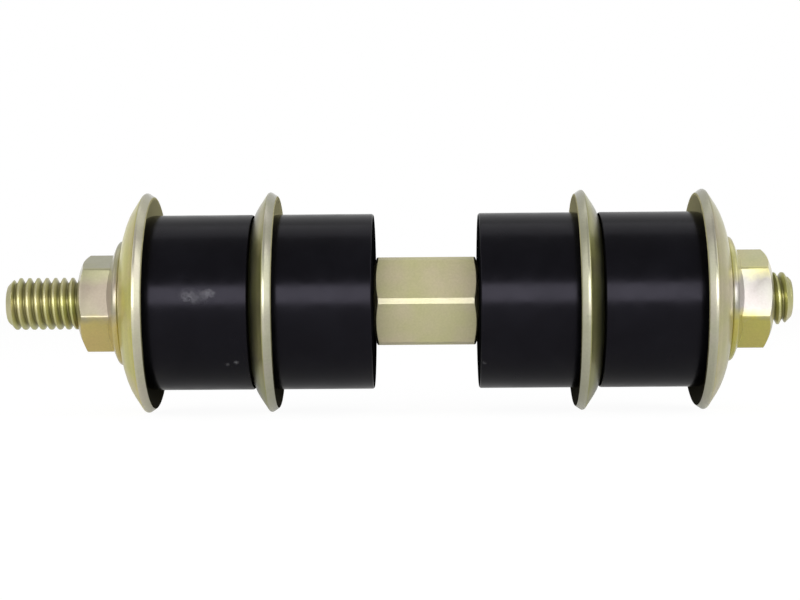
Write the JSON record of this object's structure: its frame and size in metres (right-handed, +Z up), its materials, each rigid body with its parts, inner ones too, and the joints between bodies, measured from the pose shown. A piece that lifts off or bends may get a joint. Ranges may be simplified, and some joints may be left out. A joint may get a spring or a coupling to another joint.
{
  "type": "stabilizer link",
  "caption": "Bolt-type stabilizer link: a hex-waisted threaded rod with rubber bushes, cup washers and a flange nut on each stud, tying an anti-roll bar to a suspension arm.",
  "frame": {"origin": "on the rod's axis, at the middle of the hex", "axes": "+X along the rod towards the short end, -X towards the long end, +Z up through a flat of the hex, -Y out through a corner of the hex"},
  "size_m": [0.1428, 0.0402, 0.0402],
  "materials": {
    "rod_plating": "steel with satin yellow zinc plating",
    "washer_plating": "pressed steel with satin yellow zinc plating",
    "nut_plating": "forged steel with bright yellow zinc plating",
    "bush_rubber": "smooth moulded black rubber"
  },
  "bodies": {
    "rod": {"link_rod": "rod_plating"},
    "long_end_inner_bush": {"long_end_inner_bush": "bush_rubber"},
    "long_end_inner_washer": {"long_end_inner_washer": "washer_plating"},
    "long_end_outer_bush": {"long_end_outer_bush": "bush_rubber"},
    "long_end_outer_washer": {"long_end_outer_washer": "washer_plating"},
    "long_end_nut": {"long_end_nut": "nut_plating"},
    "short_end_inner_bush": {"short_end_inner_bush": "bush_rubber"},
    "short_end_inner_washer": {"short_end_inner_washer": "washer_plating"},
    "short_end_outer_bush": {"short_end_outer_bush": "bush_rubber"},
    "short_end_outer_washer": {"short_end_outer_washer": "washer_plating"},
    "short_end_nut": {"short_end_nut": "nut_plating"}
  },
  "joints": [
    {"name": "long_end_nut_turn", "type": "hinge", "parent": "long_end_outer_washer", "child": "long_end_nut", "pos_m": [-0.05493, 0, 0], "axis": [-1, 0, 0], "range_deg": [0, 3960]},
    {"name": "long_end_outer_washer_slide", "type": "slide", "parent": "rod", "child": "long_end_outer_washer", "axis": [-1, 0, 0], "range_m": [0, 0.01746]},
    {"name": "long_end_outer_bush_slide", "type": "slide", "parent": "rod", "child": "long_end_outer_bush", "axis": [-1, 0, 0], "range_m": [0, 0.0131]},
    {"name": "long_end_inner_washer_slide", "type": "slide", "parent": "rod", "child": "long_end_inner_washer", "axis": [-1, 0, 0], "range_m": [0, 0.00873]},
    {"name": "long_end_inner_bush_slide", "type": "slide", "parent": "rod", "child": "long_end_inner_bush", "axis": [-1, 0, 0], "range_m": [0, 0.00436]},
    {"name": "short_end_nut_turn", "type": "hinge", "parent": "short_end_outer_washer", "child": "short_end_nut", "pos_m": [0.05432, 0, 0], "axis": [1, 0, 0], "range_deg": [0, 1800]},
    {"name": "short_end_outer_washer_slide", "type": "slide", "parent": "rod", "child": "short_end_outer_washer", "axis": [1, 0, 0], "range_m": [0, 0.00794]},
    {"name": "short_end_outer_bush_slide", "type": "slide", "parent": "rod", "child": "short_end_outer_bush", "axis": [1, 0, 0], "range_m": [0, 0.00596]},
    {"name": "short_end_inner_washer_slide", "type": "slide", "parent": "rod", "child": "short_end_inner_washer", "axis": [1, 0, 0], "range_m": [0, 0.00397]},
    {"name": "short_end_inner_bush_slide", "type": "slide", "parent": "rod", "child": "short_end_inner_bush", "axis": [1, 0, 0], "range_m": [0, 0.00199]}
  ],
  "couplings": [
    {"joint": "long_end_nut_turn", "follows": "long_end_outer_washer_slide", "rad_per_m": 3957.9},
    {"joint": "long_end_outer_bush_slide", "follows": "long_end_outer_washer_slide", "ratio": 0.75},
    {"joint": "long_end_inner_washer_slide", "follows": "long_end_outer_washer_slide", "ratio": 0.5},
    {"joint": "long_end_inner_bush_slide", "follows": "long_end_outer_washer_slide", "ratio": 0.25},
    {"joint": "short_end_nut_turn", "follows": "short_end_outer_washer_slide", "rad_per_m": 3957.9},
    {"joint": "short_end_outer_bush_slide", "follows": "short_end_outer_washer_slide", "ratio": 0.75},
    {"joint": "short_end_inner_washer_slide", "follows": "short_end_outer_washer_slide", "ratio": 0.5},
    {"joint": "short_end_inner_bush_slide", "follows": "short_end_outer_washer_slide", "ratio": 0.25}
  ]
}
